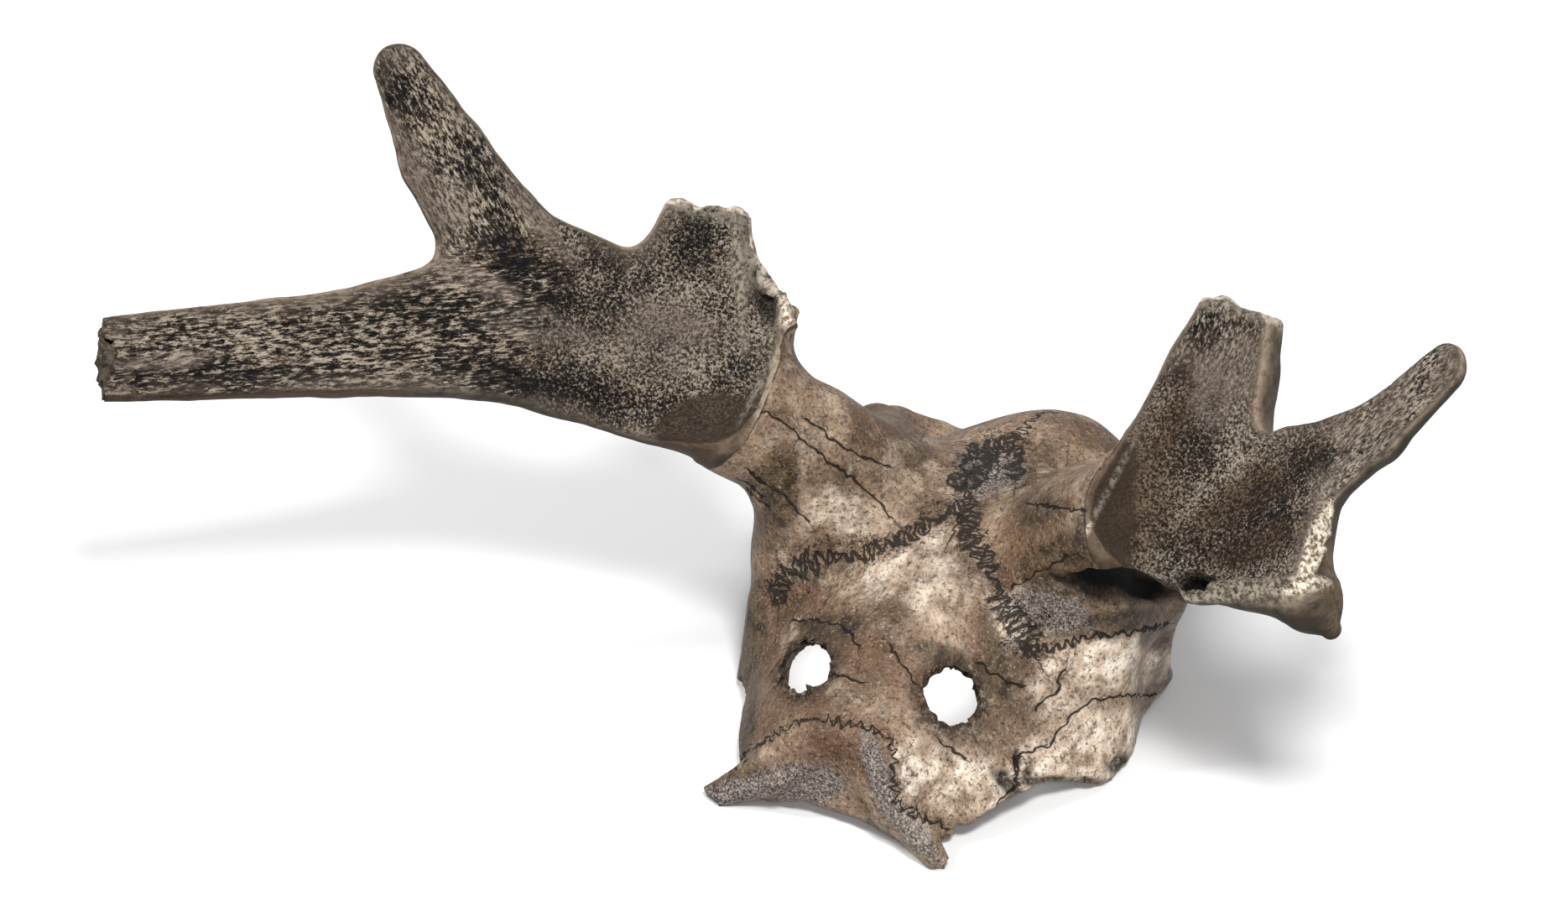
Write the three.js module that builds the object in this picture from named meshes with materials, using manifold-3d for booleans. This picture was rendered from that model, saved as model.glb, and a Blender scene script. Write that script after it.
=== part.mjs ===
// A worked red deer frontlet: the skull cap of a stag with both pedicles and the stumps of both antlers.
// The antlers were split lengthwise, so each one shows a flat porous face, and the cap has two bored holes.
// Millimetres. X runs to the animal's right, Y to its nose, Z up, and the cap rests on its own rim at Z = 0.
import * as THREE from "three";
import { MarchingCubes } from "three/addons/objects/MarchingCubes.js";
import { mergeVertices } from "three/addons/utils/BufferGeometryUtils.js";
import Module from "manifold-3d";

const wasm = await Module();
wasm.setup();

// Skull cap
const WALL = 6; // bone thickness of the vault
const LEFT_NARROWING = 1.06; // the brain case is a little narrower on its left
const CASE = { centre: [0, -3, 0], radii: [50, 65, 64], front: 105, power: 2.7 };
const BREGMA_HEIGHT = 57.5;
const PARIETAL_SLOPE = 0.42; // fall of the roof per mm behind the bregma
const ROOF_CURVE = { front: 42, back: 30 }; // cross curve of the roof, as a radius
const TEMPLE = { points: [[36, -4, 48], [38, -6, 30], [36, -13, 0]], radii: [14, 14, 19.5] };
const CHEEK = { points: [[40, -2, 38], [43, 22, 34], [34, 30, 8]], radii: [13, 12.5, 12] };
const BOSS = { centre: [6, 42, 43], radii: [20, 24, 16] };
const FRONT_CUT = 68; // the forehead ends in a cut across it
const FOREHEAD_FALL = 0.4; // and slopes down to it from this far forward
const FOREHEAD_TURN = 40;
const FRONT_RIM = 27; // the rim rises to this height under the eye sockets
const ORBIT = { centre: [56, 46, 20], radii: [24, 21, 24] };
const RIM_ARCH = 8.5; // the rim between the nape and the temples is this far off the ground
const PEDICLE = { points: [[25, 12, 44], [41, -1.5, 63.5], [57, -9.5, 76.5]], radii: [18.5, 17, 16.5], broken: true };
const BROW_RIDGE = { points: [[32, 24, 51], [42, 40, 46], [44, 54, 38], [37, 64, 31]], radii: [10, 7, 6, 5.5] };
const NUCHAL_CREST = { points: [[4, -61, 25], [17, -66, 12], [33.8, -71.8, 1]], radii: [6, 5.5, 2.6] };
const BURR = [57, -9.5, 76.5];
const BURR_AXIS = [0.744, -0.395, 0.535];

// Antlers. Both share the split face's slope; the left one is listed with a negative X.
const SPLIT_NORMAL = [0.509, -0.593, 0.624];
const SPLIT_POINT = [-115.7, -29, 105];
const SPLIT_RISE = 14; // the face starts this far above the split at the burr
const SPLIT_RUN = 30; // and comes down to it over this length
const FACE_DISH = 1.6; // the porous core lies lower than the hard rim
const LEFT = {
  beam: { points: [[-57, -9.5, 76.5], [-76, -14, 88], [-98, -21, 94.8], [-118, -32, 95.5], [-147, -58, 96], [-190, -98, 101.6]], radii: [16.5, 22, 23.2, 18.6, 13.2, 11.2], broken: true },
  bez: { points: [[-106, -22, 103], [-121, -20, 115], [-138, -16, 132], [-152, -12.5, 152.5]], radii: [18, 14, 11.6, 7.8] },
  brow: { points: [[-74, -2, 93], [-77, 6, 104], [-78.2, 15, 117.3]], radii: [19, 14.5, 11], broken: true },
  browRoot: { points: [[-64, 0, 90], [-58.8, 11.5, 99.5]], radii: [16, 9.5], broken: true },
};
const RIGHT = {
  beam: { points: [[57, -9.5, 76.5], [75, -15, 86], [87.5, -20.5, 94]], radii: [16.5, 21.5, 22.3] },
  bez: { points: [[97, -17, 107], [116.5, -12, 121.8], [130, -5.5, 139.5]], radii: [15.5, 9.2, 7.4] },
  brow: { points: [[66, 2, 93], [65, 17, 106], [65, 29.5, 119]], radii: [18.5, 14.3, 10.6], broken: true },
  prong: { points: [[97, -26, 89], [112, -33, 83], [119, -36.5, 79]], radii: [14, 8, 2.6] },
};
const ANTLER_BLEND = 9;
const BURR_BLEND = 5;

// Sutures between the bones, as lines seen from above, from the nape and from the side
const SEAM = 0.3;
const TOOTH = 5.5;
const CORONAL_LEFT = [[1, 1], [-12, -13], [-25, -18], [-36, -19.5], [-48, -17], [-72, -11]];
const CORONAL_RIGHT = [[-1, 1], [11, -10], [21, -16], [33, -21.5], [45, -18], [72, -9]];
const CORONAL_CROWN = 4; // this many of the points lie high on the crown
const INTERFRONTAL = [[0, -1.5], [-3, 18], [1, 33], [1, 85]];
const LAMBDOID = [[-64, -35], [-36, -33], [-13, -22.5], [12.8, -20], [18, -30], [29, -36], [64, -38]];
const SQUAMOSAL = [[-62, 3], [-46, 9.5], [-38.6, 16], [-25, 20.5], [-4, 25]];
// Cuts across the limbs: a point, the direction along the limb and the cut's width
const SLICES = [
  [[-57, -38, 46.6], [0, 0, 1], 48],
  [[57, -38, 46.6], [0, 0, 1], 48],
  [[-56.5, -9.8, 76.2], [-0.744, -0.395, 0.535], 78],
  [[56.5, -9.8, 76.2], [0.744, -0.395, 0.535], 78],
  [[-128, -41, 95.7], [-0.745, -0.667, 0.01], 46],
  [[-123, -19.5, 117], [-0.697, 0.164, 0.697], 42],
  [[-77.2, 8, 106], [-0.07, 0.56, 0.826], 36],
  [[112, -13.5, 118], [0.78, 0.2, 0.592], 34],
  [[65.3, 14, 103], [0, 0.693, 0.721], 42],
];
// The two bored holes
const BORES = [
  { at: [-17.9, -47.6, 31.5], radii: [7, 6.9], along: [0.2, -0.72, 0.66] },
  { at: [21.1, -42.9, 32], radii: [7.8, 7.4], along: [0.42, -0.62, 0.66] },
];
const BORE_WEAR = 0.06;
const GROUND = 1.2; // the rim's lowest points are worn flat here

// The bones and antler pieces: a point on each and its colour
const BONES = {
  frontal_left: { at: [-25, 20, 55], color: 0x7d6650, roughness: 0.5 },
  frontal_right: { at: [25, 20, 55], color: 0x7a6049, roughness: 0.5 },
  parietal: { at: [0, -30, 45], color: 0x8a735a, roughness: 0.45 },
  occipital: { at: [0, -68, 18], color: 0x75665a, roughness: 0.55 },
  temporal_left: { at: [-52, -20, 8], color: 0x8c7558, roughness: 0.5 },
  temporal_right: { at: [52, -20, 8], color: 0xa8967c, roughness: 0.45 },
  antler_left_base: { at: [-90, -20, 101], color: 0x5b5249, roughness: 0.85 },
  antler_left_beam: { at: [-160, -70, 100], color: 0x544c44, roughness: 0.85 },
  antler_left_bez_tine: { at: [-145, -14, 143], color: 0x5e554c, roughness: 0.85 },
  antler_left_brow_stub: { at: [-78, 14, 115], color: 0x6b6258, roughness: 0.85 },
  antler_right_base: { at: [85, -20, 95], color: 0x5a4d40, roughness: 0.85 },
  antler_right_bez_tine: { at: [127, -7, 135], color: 0x8f8370, roughness: 0.8 },
  antler_right_brow_tine: { at: [65, 27, 117], color: 0x5c5348, roughness: 0.85 },
};

const CELL = 5; // spacing of the surface search

// Field primitives: each returns the signed distance in mm, negative inside.
const ball = (c, r) => (x, y, z) => {
  const X = (x - c[0]) / r[0], Y = (y - c[1]) / r[1], Z = (z - c[2]) / r[2];
  const k0 = Math.hypot(X, Y, Z), k1 = Math.hypot(X / r[0], Y / r[1], Z / r[2]);
  return k1 < 1e-9 ? -Math.min(...r) : (k0 * (k0 - 1)) / k1;
};
const cone = (a, b, ra, rb) => {
  const d = [b[0] - a[0], b[1] - a[1], b[2] - a[2]];
  const dd = d[0] * d[0] + d[1] * d[1] + d[2] * d[2];
  return (x, y, z) => {
    const px = x - a[0], py = y - a[1], pz = z - a[2];
    const t = Math.max(0, Math.min(1, (px * d[0] + py * d[1] + pz * d[2]) / dd));
    return Math.hypot(px - t * d[0], py - t * d[1], pz - t * d[2]) - (ra + (rb - ra) * t);
  };
};
const blend = (a, b, k) => {
  const h = Math.max(k - Math.abs(a - b), 0) / k;
  return Math.min(a, b) - (h * h * k) / 4;
};
const carve = (a, b, k) => -blend(-a, b, k); // a with b taken out of it
const limb = ({ points, radii, broken }) => {
  const parts = points.slice(1).map((p, i) => cone(points[i], p, radii[i], radii[i + 1]));
  const end = new THREE.Vector3(...points.at(-1));
  const along = end.clone().sub(new THREE.Vector3(...points.at(-2))).normalize();
  return (x, y, z) => {
    const v = parts.reduce((m, f) => blend(m, f(x, y, z), 2), 1e3);
    const past = (x - end.x) * along.x + (y - end.y) * along.y + (z - end.z) * along.z;
    return broken ? Math.max(v, past) : v;
  };
};
const smooth = (a, b, v) => {
  const t = Math.max(0, Math.min(1, (v - a) / (b - a)));
  return t * t * (3 - 2 * t);
};

const temple = limb(TEMPLE);
const cheek = limb(CHEEK);
const boss = ball(BOSS.centre, BOSS.radii);
const orbit = ball(ORBIT.centre, ORBIT.radii);
const pedicle = limb(PEDICLE);
const browRidge = limb(BROW_RIDGE);
const nuchal = limb(NUCHAL_CREST);

// The brain case: a box with rounded corners under a roof that falls away to the nape.
function dome(xx, y, z) {
  const x = xx < 0 ? xx * LEFT_NARROWING : xx;
  const { centre, radii, power } = CASE;
  const X = Math.abs(x) / radii[0], Y = Math.abs(y - centre[1]) / (y < centre[1] ? radii[1] : CASE.front), Z = Math.abs(z) / radii[2];
  const k = Math.pow(X ** power + Y ** power + Z ** power, 1 / power);
  const box = (k - 1) * 54;
  const back = smooth(0, 45, -y);
  const curve = ROOF_CURVE.front + (ROOF_CURVE.back - ROOF_CURVE.front) * back;
  const fall = y < 0 ? -y * PARIETAL_SLOPE * smooth(-6, 24, -y) : Math.max(0, y - FOREHEAD_TURN) * FOREHEAD_FALL;
  const roof = BREGMA_HEIGHT - fall - (x * x) / (2 * curve);
  const lid = (z - roof) / Math.hypot(1, y < 0 ? PARIETAL_SLOPE : 0, x / curve);
  const body = carve(box, -lid, 10);
  return blend(blend(body, temple(Math.abs(x), y, z), 11), cheek(Math.abs(x), y, z), 9);
}

function cap(x, y, z) {
  const ax = Math.abs(x);
  const inner = dome(x, y, z) + WALL;
  let f = dome(x, y, z);
  f = blend(f, boss(ax * Math.sign(x || 1), y, z), 9);
  f = blend(f, pedicle(ax, y, z), 11);
  f = blend(f, browRidge(ax, y, z), 8);
  f = blend(f, nuchal(ax, y, z), 6);
  f = carve(f, inner, 2);
  f = carve(f, orbit(ax, y, z), 3);
  const t = Math.max(0, Math.min(1, (-y - 18) / 46));
  const arch = RIM_ARCH * Math.sin(Math.PI * t) * smooth(8, 24, ax) + 5 * smooth(-54, -62, y) * (1 - smooth(10, 22, ax));
  return Math.max(f, y - FRONT_CUT, arch - z, (FRONT_RIM * smooth(28, 46, y) - z) * 0.7);
}

function splitFace(side) {
  const n = [SPLIT_NORMAL[0] * -side, SPLIT_NORMAL[1], SPLIT_NORMAL[2]];
  const p = [SPLIT_POINT[0] * -side, SPLIT_POINT[1], SPLIT_POINT[2]];
  return (x, y, z) => {
    const s = (x * side - BURR[0]) * BURR_AXIS[0] + (y - BURR[1]) * BURR_AXIS[1] + (z - BURR[2]) * BURR_AXIS[2];
    const rise = s < 0 ? SPLIT_RISE - 2 * s : SPLIT_RISE * (1 - smooth(-SPLIT_RUN * 0.3, SPLIT_RUN, s)) * 1.07;
    return n[0] * (x - p[0]) + n[1] * (y - p[1]) + n[2] * (z - p[2]) - rise;
  };
}

function antler(limbs, side) {
  const fields = Object.values(limbs).map(limb);
  const face = splitFace(side);
  return (x, y, z) => {
    const whole = fields.reduce((v, f) => blend(v, f(x, y, z), ANTLER_BLEND), 1e3);
    const dish = FACE_DISH * smooth(2, 5, -whole);
    return carve(whole, -(face(x, y, z) + dish), 1.5);
  };
}

const left = antler(LEFT, -1);
const right = antler(RIGHT, 1);

function frontlet(x, y, z) {
  const a = x < 0 ? left(x, y, z) : right(x, y, z);
  return blend(cap(x, y, z), a, BURR_BLEND);
}


// The bone's surface, found by marching cubes over a cube that holds the whole frontlet.
const REACH = 186;
const MIDDLE = [-26, -14, 76];
function surface(field) {
  const n = Math.ceil((2 * REACH) / CELL);
  const cubes = new MarchingCubes(n, undefined, false, false, 60000);
  const step = (2 * REACH) / n;
  for (let k = 0, q = 0; k < n; k++) {
    for (let j = 0; j < n; j++) {
      for (let i = 0; i < n; i++, q++) {
        const at = (m, axis) => MIDDLE[axis] - REACH + m * step;
        const z = at(k, 2), y = at(j, 1), x = at(i, 0);
        let v = -8;
        if (z > -step * 1.5 && z < 175 && y > -120 && y < 80) v = -field(x, y, z);
        // Keep the surface clear of the grid's own corners, so that no sliver faces form.
        if (Math.abs(v) < step * 0.08) v = v < 0 ? -step * 0.08 : step * 0.08;
        cubes.field[q] = v;
      }
    }
  }
  cubes.isolation = 0;
  cubes.update();
  const raw = new THREE.BufferGeometry();
  raw.setAttribute("position", new THREE.BufferAttribute(cubes.positionArray.slice(0, cubes.count * 3), 3));
  raw.scale(REACH, REACH, REACH).translate(...MIDDLE);
  return mergeVertices(raw, 1e-3);
}

function solid(geometry) {
  geometry.deleteAttribute("normal");
  geometry.deleteAttribute("uv");
  const g = mergeVertices(geometry, 1e-4);
  return new wasm.Manifold(new wasm.Mesh({
    numProp: 3,
    vertProperties: g.attributes.position.array,
    triVerts: new Uint32Array(g.index.array),
  }));
}

// A thin blade along a zigzag line, drawn in the plane of axes a and b and pushed through along their normal.
function blade(line, a, b, from, to, teeth) {
  const pts = [];
  line.slice(1).forEach((p, i) => {
    const [x0, y0] = line[i];
    const length = Math.hypot(p[0] - x0, p[1] - y0);
    const n = Math.max(1, Math.round(length / TOOTH));
    for (let k = 0; k < n; k++) {
      const t = k / n, swing = (pts.length % 2 ? 1 : -1) * (pts.length ? teeth : 0);
      pts.push([x0 + (p[0] - x0) * t - ((p[1] - y0) / length) * swing, y0 + (p[1] - y0) * t + ((p[0] - x0) / length) * swing]);
    }
  });
  pts.push(line.at(-1));
  const normals = pts.map((p, i) => {
    const q = pts[Math.max(0, i - 1)], r = pts[Math.min(pts.length - 1, i + 1)];
    const l = Math.hypot(r[0] - q[0], r[1] - q[1]);
    return [-(r[1] - q[1]) / l, (r[0] - q[0]) / l];
  });
  const side = (h) => pts.map((p, i) => new THREE.Vector2(p[0] + normals[i][0] * h, p[1] + normals[i][1] * h));
  const shape = new THREE.Shape([...side(SEAM / 2), ...side(-SEAM / 2).reverse()]);
  const g = new THREE.ExtrudeGeometry(shape, { depth: to - from, bevelEnabled: false }).translate(0, 0, from);
  const c = new THREE.Vector3().crossVectors(a, b);
  return solid(g.applyMatrix4(new THREE.Matrix4().makeBasis(a, b, c)));
}

// A flat cut through one limb.
function slice(at, along, size) {
  const g = new THREE.BoxGeometry(size, size, SEAM);
  const turn = new THREE.Quaternion().setFromUnitVectors(new THREE.Vector3(0, 0, 1), new THREE.Vector3(...along).normalize());
  return solid(g.applyQuaternion(turn).translate(...at));
}

// A bored hole with a worn, uneven edge.
function bore({ at, radii, along }) {
  const n = 14;
  const outline = [...Array(n)].map((_, i) => {
    const t = (i / n) * Math.PI * 2, w = 1 + BORE_WEAR * Math.sin(i * 2.4 + radii[0]);
    return new THREE.Vector2(Math.cos(t) * radii[0] * w, Math.sin(t) * radii[1] * w);
  });
  const g = new THREE.ExtrudeGeometry(new THREE.Shape(outline), { depth: 40, bevelEnabled: false }).translate(0, 0, -20);
  const turn = new THREE.Quaternion().setFromUnitVectors(new THREE.Vector3(0, 0, 1), new THREE.Vector3(...along).normalize());
  return solid(g.applyQuaternion(turn).translate(...at));
}

const X = new THREE.Vector3(1, 0, 0), Y = new THREE.Vector3(0, 1, 0), Z = new THREE.Vector3(0, 0, 1);
const NAPE_UP = new THREE.Vector3(0, 0.66, 0.751);
const floor = solid(new THREE.BoxGeometry(500, 500, 20).translate(0, 0, -10 + GROUND));
const cuts = [
  blade(CORONAL_LEFT, X, Y, -5, 47, 1),
  blade(CORONAL_LEFT.slice(0, CORONAL_CROWN), X, Y, 46, 75, 1),
  blade(CORONAL_RIGHT, X, Y, -5, 47, 1),
  blade(CORONAL_RIGHT.slice(0, CORONAL_CROWN), X, Y, 46, 75, 1),
  blade(INTERFRONTAL, X, Y, 10, 75, 0.7),
  blade(LAMBDOID, X, NAPE_UP, 15, 95, 0.8),
  blade(SQUAMOSAL, Y, Z, 24, 75, 0.5),
  blade(SQUAMOSAL, Y, Z, -75, -24, 0.5),
  ...SLICES.map(([at, along, size]) => slice(at, along, size)),
  ...BORES.map(bore),
];

let bone = solid(surface(frontlet)).subtract(floor);
bone = bone.decompose().sort((a, b) => b.volume() - a.volume())[0];
for (const cut of cuts) bone = bone.subtract(cut);
const pieces = bone.decompose();

// A piece belongs to the bone whose middle it lies nearest to.
function pieceAt(p) {
  let best = null, least = Infinity;
  for (const piece of pieces) {
    const { vertProperties: v } = piece.getMesh();
    for (let i = 0; i < v.length; i += 3) {
      const d = Math.hypot(v[i] - p[0], v[i + 1] - p[1], v[i + 2] - p[2]);
      if (d < least) [best, least] = [piece, d];
    }
  }
  return best;
}

const box = new THREE.Box3();
const meshes = Object.entries(BONES).map(([name, { at, color, roughness }]) => {
  const { vertProperties, triVerts } = pieceAt(at).getMesh();
  const g = new THREE.BufferGeometry();
  g.setAttribute("position", new THREE.BufferAttribute(vertProperties, 3));
  g.setIndex(new THREE.BufferAttribute(triVerts, 1));
  g.computeVertexNormals();
  g.computeBoundingBox();
  box.union(g.boundingBox);
  const mesh = new THREE.Mesh(g, new THREE.MeshStandardMaterial({ color, roughness, metalness: 0 }));
  mesh.name = name;
  return mesh;
});

// The origin is the middle of the box on the ground.
const frontletGroup = new THREE.Group();
frontletGroup.name = "red_deer_frontlet";
const middle = box.getCenter(new THREE.Vector3());
for (const mesh of meshes) {
  mesh.position.set(-middle.x, -middle.y, -box.min.z);
  frontletGroup.add(mesh);
}
export default frontletGroup;
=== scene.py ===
import math

import bmesh
import bpy
import numpy as np
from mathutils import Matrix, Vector
from mathutils.kdtree import KDTree


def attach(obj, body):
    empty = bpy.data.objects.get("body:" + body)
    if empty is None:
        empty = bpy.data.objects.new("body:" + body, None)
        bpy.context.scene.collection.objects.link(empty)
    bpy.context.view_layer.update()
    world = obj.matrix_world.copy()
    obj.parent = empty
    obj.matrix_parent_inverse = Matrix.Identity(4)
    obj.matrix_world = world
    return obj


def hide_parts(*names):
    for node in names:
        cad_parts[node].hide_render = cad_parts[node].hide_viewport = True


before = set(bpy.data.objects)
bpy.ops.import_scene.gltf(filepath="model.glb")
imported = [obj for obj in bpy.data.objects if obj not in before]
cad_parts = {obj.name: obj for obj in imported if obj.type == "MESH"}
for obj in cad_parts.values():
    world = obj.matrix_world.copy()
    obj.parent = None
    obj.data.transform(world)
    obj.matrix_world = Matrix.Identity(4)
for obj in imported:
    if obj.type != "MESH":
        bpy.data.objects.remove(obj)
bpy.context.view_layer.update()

# The camera
# It looks down on the frontlet from behind its right side, as the photograph does,
# from far enough away that the antlers hardly change in size.
PHOTO_WIDTH, PHOTO_HEIGHT = 1869, 1099
LOOKED_AT = Vector((-0.00023, -0.01923, 0.0818))


def aimed(thing, place):
    """Puts the camera or a lamp here, turned towards the frontlet."""
    thing.location = place
    thing.rotation_mode = "QUATERNION"
    thing.rotation_quaternion = (LOOKED_AT - thing.location).to_track_quat("-Z", "Y")
    bpy.context.scene.collection.objects.link(thing)


camera_data = bpy.data.cameras.new("camera")
camera_data.lens = 146.8
camera_data.sensor_width = 36
camera = bpy.data.objects.new("camera", camera_data)
aimed(camera, (0.62286, -1.21619, 0.94148))
bpy.context.scene.camera = camera

# The studio
# A white floor, which the bone doesn't reflect, under soft lamps: the key lamp above the camera, weaker ones
# on the left, in front and behind, and a tiny one under the cap for the floor seen through the bores.
FLOOR_REACH = 6
studio = bmesh.new()
bmesh.ops.create_grid(studio, x_segments=1, y_segments=1, size=FLOOR_REACH)
floor_mesh = bpy.data.meshes.new("floor")
studio.to_mesh(floor_mesh)
studio.free()
floor = bpy.data.objects.new("floor", floor_mesh)
bpy.context.scene.collection.objects.link(floor)
floor_paint = bpy.data.materials.new("white_floor")
floor_paint.use_nodes = True
floor_shader = floor_paint.node_tree.nodes["Principled BSDF"]
floor_shader.inputs["Base Color"].default_value = (0.8, 0.8, 0.8, 1)
floor_shader.inputs["Roughness"].default_value = 0.9
floor_mesh.materials.append(floor_paint)
floor.visible_glossy = False
bpy.context.scene.view_settings.view_transform = "Standard"

world = bpy.data.worlds.new("studio")
bpy.context.scene.world = world
world.use_nodes = True
world.node_tree.nodes["Background"].inputs["Color"].default_value = (0.97, 0.98, 1, 1)
world.node_tree.nodes["Background"].inputs["Strength"].default_value = 0.36


def soft_lamp(name, size, watts):
    """A square lamp of this size in metres."""
    lamp_data = bpy.data.lights.new(name, "AREA")
    lamp_data.size = size
    lamp_data.energy = watts
    return bpy.data.objects.new(name, lamp_data)


for name, place, size, watts in [
    ("key", (0.55, -0.66, 1.45), 0.35, 25),
    ("left", (-0.85, -0.45, 1.2), 0.3, 13),
    ("front", (0.66, -1.24, 1.02), 0.12, 5),
    ("back", (0.3, 1.5, 1.5), 0.9, 9),
]:
    aimed(soft_lamp(name, size, watts), place)
under_lamp = soft_lamp("under_cap", 0.05, 0.02)
under_lamp.location = (0.012, 0.018, 0.02)
bpy.context.scene.collection.objects.link(under_lamp)

# The shape of the skull cap
# The top of a stag's brain case with both pedicles, in dry bone about 6 mm thick, chopped off below and in
# front and bored twice through the nape. Its shape is the distance in mm to its surface, below 0 inside.
dice = np.random.default_rng(11).random((48, 48, 48)) * 2 - 1


def lumps(p, size, shift=0.0):
    """Smooth random lumps from -1 to 1, of this size in mm. Another shift gives other lumps."""
    q = p / size + shift
    cell = np.floor(q).astype(np.int64)
    t = q - cell
    t = t * t * (3 - 2 * t)
    total = np.zeros(len(p))
    for i in (0, 1):
        for j in (0, 1):
            for k in (0, 1):
                value = dice[(cell[:, 0] + i) % 48, (cell[:, 1] + j) % 48, (cell[:, 2] + k) % 48]
                weight = np.where(i, t[:, 0], 1 - t[:, 0]) * np.where(j, t[:, 1], 1 - t[:, 1])
                total += value * weight * np.where(k, t[:, 2], 1 - t[:, 2])
    return total


def smooth(low, high, value):
    """0 at low and 1 at high, with a soft step between them."""
    t = np.clip((value - low) / (high - low), 0, 1)
    return t * t * (3 - 2 * t)


def ball(p, centre, radii):
    """Distance from a ball that is drawn out to these radii."""
    q = (p - centre) / radii
    k0 = np.linalg.norm(q, axis=1)
    k1 = np.maximum(np.linalg.norm(q / radii, axis=1), 1e-9)
    return k0 * (k0 - 1) / k1


def cone(p, a, b, ra, rb):
    """Distance from a cone with rounded ends, from radius ra at a to radius rb at b."""
    a, b = np.array(a, float), np.array(b, float)
    d = b - a
    q = p - a
    t = np.clip(q @ d / (d @ d), 0, 1)
    return np.linalg.norm(q - t[:, None] * d, axis=1) - (ra + (rb - ra) * t)


def blend(a, b, width):
    """Both shapes as one, with a soft hollow of about this width where they meet."""
    h = np.maximum(width - np.abs(a - b), 0) / width
    return np.minimum(a, b) - h * h * width / 4


def carve(a, b, width):
    """Shape a with shape b taken out of it, and a softened edge."""
    return -blend(-a, b, width)


def limb(p, points, radii, broken=0.0):
    """A limb through these points, rounded at its end or broken off by this much up and down."""
    value = np.full(len(p), 1e3)
    for a, b, ra, rb in zip(points, points[1:], radii, radii[1:]):
        value = blend(value, cone(p, a, b, ra, rb), 2)
    if not broken:
        return value
    end = np.array(points[-1], float)
    along = end - np.array(points[-2], float)
    past = (p - end) @ (along / np.linalg.norm(along))
    ragged = broken * (lumps(p, 5.5) + 0.6 * lumps(p, 2.3, 3.3))
    return np.maximum(value, past + ragged)


def mirrored(p):
    """The same places, all on the animal's right side."""
    q = p.copy()
    q[:, 0] = np.abs(q[:, 0])
    return q


WALL = 6
CROWN_HEIGHT = 57.5
ROOF_SLOPE = 0.42
CASE_SQUARENESS = 2.7
CASE_MIDDLE = -3
CASE_WIDTH, CASE_BACK, CASE_FRONT, CASE_HEIGHT = 50, 65.0, 105.0, 64
TEMPLE = ([[36, -4, 48], [38, -6, 30], [36, -13, 0]], [14, 14, 19.5])
CHEEK = ([[40, -2, 38], [43, 22, 34], [34, 30, 8]], [13, 12.5, 12])
PEDICLE = ([[25, 12, 44], [41, -1.5, 63.5], [57, -9.5, 76.5]], [18.5, 17, 16.5])
BROW_RIDGE = ([[32, 24, 51], [42, 40, 46], [44, 54, 38], [37, 64, 31]], [10, 7, 6, 5.5])
NAPE_CREST = ([[4, -61, 25], [17, -66, 12], [33.8, -71.8, 1]], [6, 5.5, 2.6])
FOREHEAD_SWELL = (np.array([6, 42, 43]), np.array([20, 24, 16]))
EYE_SOCKET = (np.array([56, 46, 20]), np.array([24, 21, 24]))
BORES = [
    ((-18.5, -47.6, 31.9), (0.2, -0.72, 0.66), 7.6),
    ((21.1, -42.9, 32.0), (0.42, -0.62, 0.66), 7.6),
]
FRONT_BREAK = 68
BROW_BREAK = 27
NAPE_ARCH, NAPE_NOTCH = 8.5, 5


def brain_case(p):
    """The rounded box of the brain case under a roof that falls away to the nape."""
    x = np.where(p[:, 0] < 0, p[:, 0] * 1.06, p[:, 0])
    y, z = p[:, 1], p[:, 2]
    reach = np.where(y < CASE_MIDDLE, CASE_BACK, CASE_FRONT)
    across, along, up = np.abs(x) / CASE_WIDTH, np.abs(y - CASE_MIDDLE) / reach, np.abs(z) / CASE_HEIGHT
    k = (across**CASE_SQUARENESS + along**CASE_SQUARENESS + up**CASE_SQUARENESS) ** (1 / CASE_SQUARENESS)
    box = (k - 1) * 54
    curve = 42 - 12 * smooth(0, 45, -y)
    fall = np.where(y < 0, -y * ROOF_SLOPE * smooth(-6, 24, -y), np.maximum(0, y - 40) * 0.4)
    roof = CROWN_HEIGHT - fall - x * x / (2 * curve)
    lid = (z - roof) / np.sqrt(1 + np.where(y < 0, ROOF_SLOPE**2, 0) + (x / curve) ** 2)
    body = carve(box, -lid, 10)
    q = mirrored(p)
    slimmer = 2.6 * smooth(-20, -40, p[:, 0]) * smooth(24, 4, z)
    return blend(blend(body, limb(q, *TEMPLE) + slimmer, 11), limb(q, *CHEEK), 9)


def bore_axis(p, at, along):
    """Distance from a bored hole's axis and height along it."""
    axis = np.array(along) / np.linalg.norm(along)
    q = p - np.array(at)
    h = q @ axis
    return np.linalg.norm(q - h[:, None] * axis, axis=1), h


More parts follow.
